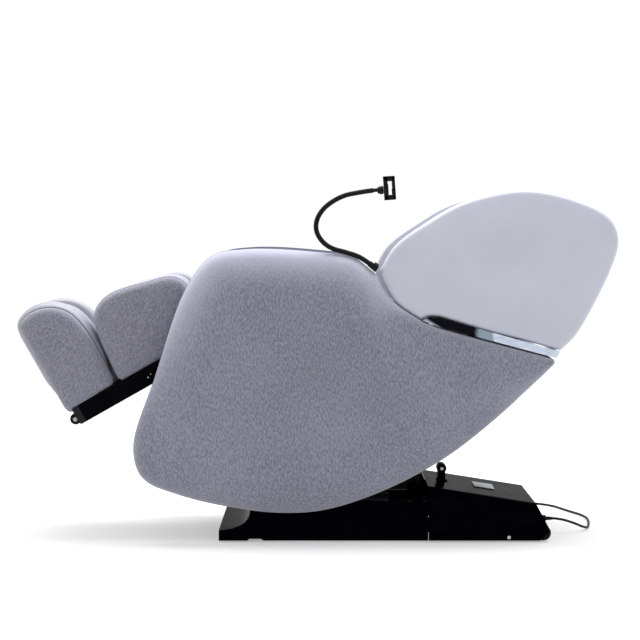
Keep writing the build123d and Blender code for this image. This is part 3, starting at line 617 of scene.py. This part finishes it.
def mains_cord():
    points = CORD_ROUTE + coil_points()
    data = bpy.data.curves.new("mains_cord", "CURVE")
    data.dimensions = "3D"
    data.bevel_depth = CORD_D / 2 * MM
    data.bevel_resolution = 4
    data.use_fill_caps = True
    spline = data.splines.new("NURBS")
    spline.points.add(len(points) - 1)
    for p, co in zip(spline.points, points):
        p.co = (co[0] * MM, co[1] * MM, co[2] * MM, 1)
    spline.order_u = 3
    spline.use_endpoint_u = True
    spline.resolution_u = 10
    data.materials.append(RUBBER)
    cord = bpy.data.objects.new("mains_cord", data)
    bpy.context.scene.collection.objects.link(cord)
    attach(cord, "base")
    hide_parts("power_cord", "power_cord_coil")


# ---- outlines ------------------------------------------------------------------------------
NOTCH = (160, 749)  # where panel and hood meet at the top
STRIP_TIP = (281, 622)
STRIP_LINE = [Vector(STRIP_TIP), Vector((657, 529))]


def panel_outline():
    around = [NOTCH, (94, 797), (-20, 815), (-206, 822), (-300, 803), (-371, 716), (-463, 457), (-521, 268)]
    around += [(-496, 183), (-393, 135), (-206, 94), (-91, 85), (16, 94), (172, 145), (344, 236), (509, 366)]
    around += [(640, 495), (650, 507), (647, 517)]
    strip = [(647, 517), (600, 530), (457, 568), (327, 604), STRIP_TIP]
    hood = [STRIP_TIP, (206, 676), NOTCH]
    runs = [curve_through(around), [Vector(p) for p in strip], curve_through(hood)]
    return even(joined(*runs), 9)


def hood_outline():
    shell = [(164, 756), (207, 828), (290, 891), (400, 952), (569, 986), (715, 957), (804, 908), (829, 847)]
    shell += [(804, 756), (715, 590), (666, 541)]
    strip = [(666, 541), (551, 573), (438, 600), (331, 634), (299, 636), (278, 626)]
    panel = [(278, 626), (207, 678), (164, 756)]
    runs = [curve_through(shell), [Vector(p) for p in strip], curve_through(panel)]
    return even(joined(*runs), 9)


def calf_outline():
    top = [(11, 40), (7, 150), (-4, 188), (-24, 207), (-84, 225), (-203, 246), (-257, 223), (-279, 164), (-293, 36)]
    low = [(-293, 36), (-288, 21), (-276, 15), (4, 18), (11, 40)]
    return even(joined(curve_through(top), [Vector(p) for p in low]), 8)


def foot_outline():
    top = [(-466, 268), (-459, 296), (-417, 312), (-365, 300), (-324, 262), (-306, 200), (-303, 120), (-306, 38)]
    low = [(-306, 38), (-312, 23), (-345, 18), (-392, 11), (-440, 11), (-458, 14), (-466, 30)]
    return even(joined(curve_through(top), curve_through(low), [Vector(low[-1]), Vector(top[0])]), 8)


# ---- the seat's shell ----------------------------------------------------------------------
def side_panels():
    for name, side in SIDES:
        piece = pad_shell(
            "side_panel_cloth_" + name,
            panel_outline(),
            side * PANEL_IN,
            side * PANEL_OUT,
            PANEL_EDGE,
            PANEL_CROWN,
            PANEL_CLOTH,
            "seat",
            reach=170,
            flat=STRIP_LINE,
        )
        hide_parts("side_panel_" + name)


def hood_wings():
    for name, side in SIDES:
        outline = hood_outline()
        piece = pad_shell(
            "hood_cover_" + name,
            outline,
            side * WING_IN,
            side * WING_OUT,
            WING_EDGE,
            WING_CROWN,
            HOOD_LEATHER,
            "seat",
            reach=240,
            flat=STRIP_LINE,
        )
        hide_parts("hood_wing_" + name)
        rim = inset(outline, 0.5)
        y = side * (WING_IN + 10)
        line = [(p.x, y, p.y) for p in rim]
        piping = tube("hood_piping_" + name, line, PIPING_R, PIPING, "seat", closed=True)


def paint_node(name, material):
    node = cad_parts[name]
    node.data.materials.clear()
    node.data.materials.append(material)


# ---- leg rest ------------------------------------------------------------------------------
def leg_sides():
    for block, outline in (("calf", calf_outline()), ("foot", foot_outline())):
        body = "leg_rest" if block == "calf" else "foot_rest"
        for name, side in SIDES:
            piece = pad_shell(
                f"{block}_cloth_{name}",
                outline,
                side * (LINING_HALF - 4),
                side * (LEG_HALF + 1),
                19,
                6,
                LEG_CLOTH,
                body,
                LEG,
                reach=70,
                spacing=10,
            )
            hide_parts(f"{block}_panel_{name}")


SWELL_RISE = 60


def swollen(outline, amount, from_z):
    """The outline moved outwards above a height, by an amount that grows over SWELL_RISE."""
    out = []
    for p, q in zip(outline, inset(outline, -1, 1)):
        share = min(max((p.y - from_z) / SWELL_RISE, 0), 1)
        out.append(p + (q - p) * amount * share)
    return out


# Across a leg rest block, from the cloth side inwards: how far the lining stands out, how much of
# the well's depth is cut away, and whether a sewn line runs there.
LINING_STEPS = [
    (LINING_HALF, -5, 0, False),
    (203, 1, 0, True),
    (198, 8, 0, False),
    (189, 12, 0, False),
    (181, 10, 0, False),
    (175, 4, 0, True),
    (168, 12, 0, False),
    (157, 17, 0, False),
    (146, 15, 0, False),
    (139, 8, 0, True),
    (132, 14, 0, False),
    (124, 11, 0, False),
    (118, 2, 0.12, False),
    (114, -4, 0.55, False),
    (110, -6, 0.9, False),
    (102, -6, 1, False),
    (68, -6, 1.04, False),
    (34, -6, 1, False),
    (26, -6, 0.9, False),
    (21, -4, 0.5, False),
    (18, 0, 0.1, False),
    (12, 5, 0, False),
    (0, 7, 0, False),
]


def lining_section(outline, step, floor, wall, fullness):
    """One section of a block's lining: the block's outline, swollen, with the well cut out."""
    _, swell, cut, _ = step
    out = []
    for p in swollen(outline, swell * fullness, SWELL_RISE):
        z = p.y
        if cut and p.x > wall and z > floor:
            z = z + (floor - z) * cut
        out.append((p.x, z))
    return out


def leg_linings():
    blocks = (
        ("calf", calf_outline(), 122, -1000, 0.42, "leg_rest"),
        ("foot", foot_outline(), 92, -424, 1.0, "foot_rest"),
    )
    for block, outline, floor, wall, fullness, body in blocks:
        loops = []
        for step in LINING_STEPS:
            loops.append([(x, -step[0], z) for x, z in lining_section(outline, step, floor, wall, fullness)])
        for step in reversed(LINING_STEPS[:-1]):
            loops.append([(x, step[0], z) for x, z in lining_section(outline, step, floor, wall, fullness)])
        piece = subdivided(loft(block + "_lining", loops, LINING, body, LEG))
        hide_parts(block + "_cushion")
        lines = [step for step in LINING_STEPS if step[3]]
        for index, step in enumerate(lines):
            for name, side in SIDES:
                section = lining_section(outline, step, floor, wall, fullness)
                line = [LEG @ Vector((x, side * step[0], z)) for x, z in section if z > 70]
                seam = tube(f"{block}_seam_{name}_{index}", line, PIPING_R, SEAM, body)


# ---- cushions ------------------------------------------------------------------------------
CLOTH_FRAMES = 20


def inflate(piece, cap):
    """Blows the pad up as a cloth bag, and lets no point move further than cap."""
    mesh = piece.data
    before = [v.co.copy() for v in mesh.vertices]
    cloth_on = piece.modifiers.new("Cloth", "CLOTH")
    settings = cloth_on.settings
    settings.quality = 4
    settings.mass = 0.3
    settings.tension_stiffness = settings.compression_stiffness = 12
    settings.bending_stiffness = 0.4
    settings.use_pressure = True
    settings.uniform_pressure_force = 4.0
    settings.effector_weights.gravity = 0
    cloth_on.collision_settings.use_collision = False
    cloth_on.point_cache.frame_start, cloth_on.point_cache.frame_end = 1, CLOTH_FRAMES
    scene = bpy.context.scene
    for step in range(1, CLOTH_FRAMES + 1):
        scene.frame_set(step)
    moved = piece.evaluated_get(bpy.context.evaluated_depsgraph_get()).data
    after = [v.co.copy() for v in moved.vertices]
    piece.modifiers.remove(cloth_on)
    scene.frame_set(1)
    for vertex, old, new in zip(mesh.vertices, before, after):
        step = new - old
        vertex.co = old + step * min(1, cap / max(step.length, 1e-9))


def remesh(piece):
    """Gives the piece evenly sized faces."""
    modifier = piece.modifiers.new("Remesh", "REMESH")
    modifier.mode = "VOXEL"
    modifier.voxel_size = 0.006
    fresh = bpy.data.meshes.new_from_object(piece.evaluated_get(bpy.context.evaluated_depsgraph_get()))
    piece.modifiers.remove(modifier)
    piece.data = fresh
    for face in fresh.polygons:
        face.use_smooth = True


PAD_SHY = 7  # how much smaller the pad is than its solid before it is blown up
CHANNEL_HALF, CHANNEL_DEEP = 13, 7


def cushion(name, node, low, high, place, channels, soft=18, cap=0.012):
    """A crowned pad in the space of its plain solid, with sewn channels across its top.

    channels holds (axis, position) in the cushion's own frame: the lines sewn into its top.
    """
    bm = bmesh.new()
    low, high = [v + PAD_SHY for v in low], [v - PAD_SHY for v in high]
    rounded_box(bm, low, high, place, soft, 4)
    piece = finished(name, bm, LINING, "seat")
    remesh(piece)
    inflate(piece, cap)
    home = place.inverted()
    for vertex in piece.data.vertices:
        own = home @ (vertex.co / MM)
        if own.z < (low[2] + high[2]) / 2:
            continue
        near = [max(0, 1 - abs(own[axis] - at) / CHANNEL_HALF) for axis, at in channels]
        own.z -= min(sum(CHANNEL_DEEP * share**1.6 for share in near), 9)
        vertex.co = place @ own * MM
    subdivided(piece)
    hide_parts(node)


def seat_pads():
    half = CUSHION_HALF
    channels = [(0, x) for x in (-360, -280, -200, -120)] + [(1, -150), (1, 150)]
    cushion("seat_pad", "seat_cushion", (-437, -half, -62), (-10, half, 2), SEAT, channels)
    channels = [(0, x) for x in (110, 190, 270, 350, 430)] + [(1, -140), (1, 140)]
    cushion("back_pad", "back_cushion", (26, -half, -49), (640, half, 2), BACK, channels)
    low, high = (478, -150, -4), (632, 150, 54)
    cushion("headrest_pad", "head_pillow", low, high, BACK, [(0, 555)], soft=22, cap=0.016)


def shoulder_wings():
    """The padded air-bag wings beside the sitter's shoulders, inside the hood."""
    outline = [(255, -14), (250, 60), (282, 108), (350, 118), (500, 118), (568, 108), (598, 60), (594, -14)]
    points = even(curve_through(outline, closed=True), 9)
    for name, side in SIDES:
        inner, outer = side * (WING_IN - 3), side * (CUSHION_HALF + 6)
        piece = pad_shell(
            "shoulder_pad_" + name, points, inner, outer, 13, 6, LINING, "seat", BACK, reach=60, spacing=12
        )
    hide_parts("shoulder_pads")


def arm_pads():
    top = [(-334, 726), (-288, 786), (-200, 806), (-20, 800), (84, 782), (146, 740)]
    back = [(146, 740), (192, 668), (256, 614)]
    low = [(256, 614), (183, 472), (142, 416), (-296, 621), (-334, 662), (-334, 726)]
    outline = even(joined(curve_through(top), curve_through(back), [Vector(p) for p in low]), 9)
    for name, side in SIDES:
        piece = pad_shell(
            "arm_lining_" + name, outline, side * (PANEL_IN - 2), side * 240, 20, 6, LINING, "seat", reach=90
        )
        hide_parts("arm_pad_" + name)


def hood_shell():
    """The shell behind the head and shoulders, between the two wings, drawn in slightly at its two ends."""
    outer = [(569, 974), (715, 944), (793, 900), (816, 847), (793, 760), (704, 593), (660, 532)]
    inner = [(650, 542), (694, 604), (780, 762), (801, 846), (782, 890), (708, 929), (569, 961)]
    section = curve_through(outer, 8) + curve_through(inner, 8)
    loops = []
    for y in (-259, -257, -250, -238, -190, -100, 0, 100, 190, 238, 250, 257, 259):
        pull = 5 if abs(y) > 258 else 2.5 if abs(y) > 256 else 0
        loops.append([(p.x, y, p.y) for p in inset(section, pull, 1)])
    shell = loft("hood_shell", loops, HOOD_LEATHER, "seat")
    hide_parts("hood_back")
    for y in (-160, 160):
        line = [(p.x, y, p.y) for p in curve_through(outer, 8)]
        seam = tube(f"hood_seam_{'left' if y < 0 else 'right'}", line, 1.0, PIPING, "seat")


# ---- phone holder --------------------------------------------------------------------------
NECK_LINE = [
    (158, 764),
    (135, 783),
    (106, 801),
    (70, 813),
    (38, 822),
    (15, 835),
    (-3, 856),
    (-11, 880),
    (-7, 906),
    (10, 933),
    (36, 954),
    (69, 970),
    (106, 978),
    (138, 983),
    (160, 985.4),
]
NECK_R = 7
NECK_PITCH = 3.6  # from one rib to the next
NECK_SIDES = 16


def flexible_arm():
    """A ribbed rubber arm in one piece, in place of its two frame tubes."""
    line = curve_through(NECK_LINE, 10)
    lengths = [0.0]
    for a, b in zip(line, line[1:]):
        lengths.append(lengths[-1] + (b - a).length)
    total = lengths[-1]
    stations = 260
    bm = bmesh.new()
    rings = []
    index = 0
    for k in range(stations + 1):
        at = total * k / stations
        while index + 2 < len(line) and lengths[index + 1] < at:
            index += 1
        share = (at - lengths[index]) / max(lengths[index + 1] - lengths[index], 1e-9)
        here = line[index].lerp(line[index + 1], share)
        ahead = (line[min(index + 2, len(line) - 1)] - line[max(index - 1, 0)]).normalized()
        across = Vector((-ahead.y, ahead.x))
        radius = NECK_R - 0.35 * (0.5 + 0.5 * cos(2 * pi * at / NECK_PITCH))
        if at < 30:
            radius = 8.4 if at < 27 else 7.2
        if at > total - 12:
            radius = 5.2
        ring = []
        for j in range(NECK_SIDES):
            angle = 2 * pi * j / NECK_SIDES
            flat = here + across * radius * cos(angle)
            ring.append(bm.verts.new((flat.x, NECK_Y + radius * sin(angle), flat.y)))
        rings.append(ring)
    for a, b in zip(rings, rings[1:]):
        for i in range(NECK_SIDES):
            j = (i + 1) % NECK_SIDES
            bm.faces.new((a[i], a[j], b[j], b[i]))
    bm.faces.new(rings[0])
    bm.faces.new(rings[-1])
    arm = finished("flexible_arm", bm, RUBBER, None)
    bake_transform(arm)
    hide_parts("gooseneck_lower", "gooseneck_upper")


CLAMP = Matrix.Translation((184, NECK_Y, 991)) @ Matrix.Rotation(radians(-4), 4, "Y")


def phone_clamp():
    """The clamp's fixed half with its collar, and the sprung half that slides up off it."""
    bm = bmesh.new()
    rounded_box(bm, (-7.5, -22, -34), (4, 22, 13), CLAMP, 1.2, 3)
    rounded_box(bm, (-7.5, -22, -34), (24.5, 22, -20), CLAMP, 2.5, 3)
    rounded_box(bm, (16, -22, -33), (24.5, 22, -0.3), CLAMP, 1.2, 3)
    disc(bm, (-14.5, 0, -5), 11.5, 12, "X", CLAMP, 40, 2.5)
    disc(bm, (-22, 0, -5), 9.5, 6, "X", CLAMP, 40, 1.5)
    fixed = finished("clamp_fixed_half", bm, BLACK, "clamp")
    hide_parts("phone_clamp")
    bm = bmesh.new()
    rounded_box(bm, (-7.5, -22, 13.3), (4, 22, 32), CLAMP, 1.2, 3)
    rounded_box(bm, (-7.5, -22, 18), (24.5, 22, 32), CLAMP, 2.5, 3)
    rounded_box(bm, (16, -22, 0), (24.5, 22, 31), CLAMP, 1.2, 3)
    jaw = finished("clamp_sliding_half", bm, BLACK, "clamp_jaw")
    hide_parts("phone_clamp_jaw")
    bm = bmesh.new()
    for side in (-1, 1):
        rounded_box(bm, (-3.5, side * 14 - 2, 5), (-0.5, side * 14 + 2, 30), CLAMP, 0.8, 2)
    guides = finished("clamp_guides", bm, STEEL, "clamp_jaw")
    bm = bmesh.new()
    for low, high in (((4, -19, -19), (5.2, 19, 11)), ((14.8, -19, -19), (16, 19, -3))):
        rounded_box(bm, low, high, CLAMP, 0.5, 2)
    pads = finished("clamp_grip_pads", bm, RUBBER, "clamp")


# ---- small details -------------------------------------------------------------------------
def frame_details():
    """Screws on the leg rest's channels, the glide rollers' hubs, and the cover's blank label."""
    bm = bmesh.new()
    for side in (-1, 1):
        for x, z, radius in ((-205, -4, 1.6), (-216, -9, 2.2)):
            disc(bm, (x, side * 228.4, z), radius, 1.2, "Y", LEG, 20, 0.4)
    screws = finished("channel_screws", bm, STEEL, "leg_rest")
    bm = bmesh.new()
    for side in (-1, 1):
        disc(bm, (-457, side * 200.6, -11), 6, 2, "Y", LEG, 32, 0.6)
    hubs = finished("glide_hubs", bm, PALE_PLASTIC, "glides")
    bm = bmesh.new()
    for side in (-1, 1):
        disc(bm, (354, side * 37, 181), 5.4, 2.6, "Y", CHAIR, 32, 0.8)
    pin_ends = finished("stop_roller_caps", bm, STEEL, "base")
    slope = Matrix.Translation((478, 20, 126.2)) @ Matrix.Rotation(radians(8.97), 4, "Y")
    bm = bmesh.new()
    rounded_box(bm, (-30, -62, 0), (30, 62, 0.9), slope, 0.4, 2)
    label = finished("blank_label_plate", bm, LABEL, "base")


# Nodes shown as they were designed, each with its finish.
CAD_FINISH = {
    "base_skirt": BASE_BLACK,
    "rear_cover": BASE_BLACK,
    "base_frame": FRAME_BLACK,
    "seat_frame": FRAME_BLACK,
    "leg_frame": FRAME_BLACK,
    "foot_frame": FRAME_BLACK,
    "foot_end_caps": CAP_BLACK,
    "tilt_actuator": BLACK,
    "leg_actuator": BLACK,
    "tilt_actuator_rod": STEEL,
    "leg_actuator_rod": STEEL,
    "kneading_shaft": STEEL,
    "track_rails": STEEL,
    "cover_screws": STEEL,
    "carriage_frame": FRAME_BLACK,
    "pivot_bushes": BLACK,
    "power_inlet": BLACK,
    "rocker_switch": BLACK,
    "underbody_cover": BLACK,
    "pump_and_control": BLACK,
    "massage_arm_left": BLACK,
    "massage_arm_right": BLACK,
    "neck_socket": BLACK,
    "rubber_feet": RUBBER,
    "stop_roller": RUBBER,
    "transport_wheel_left": RUBBER,
    "transport_wheel_right": RUBBER,
    "glide_rollers": RUBBER,
    "power_connector": RUBBER,
    "power_plug": RUBBER,
    "foot_roller": PALE_PLASTIC,
    "massage_wheel_left_upper": PALE_PLASTIC,
    "massage_wheel_left_lower": PALE_PLASTIC,
    "massage_wheel_right_upper": PALE_PLASTIC,
    "massage_wheel_right_lower": PALE_PLASTIC,
    "trim_strip_left": CHROME_TRIM,
    "trim_strip_right": CHROME_TRIM,
}


def main():
    camera()
    studio()
    mains_cord()
    for name, material in CAD_FINISH.items():
        paint_node(name, material)
    side_panels()
    arm_pads()
    hood_wings()
    hood_shell()
    leg_sides()
    leg_linings()
    seat_pads()
    shoulder_wings()
    flexible_arm()
    phone_clamp()
    frame_details()


main()
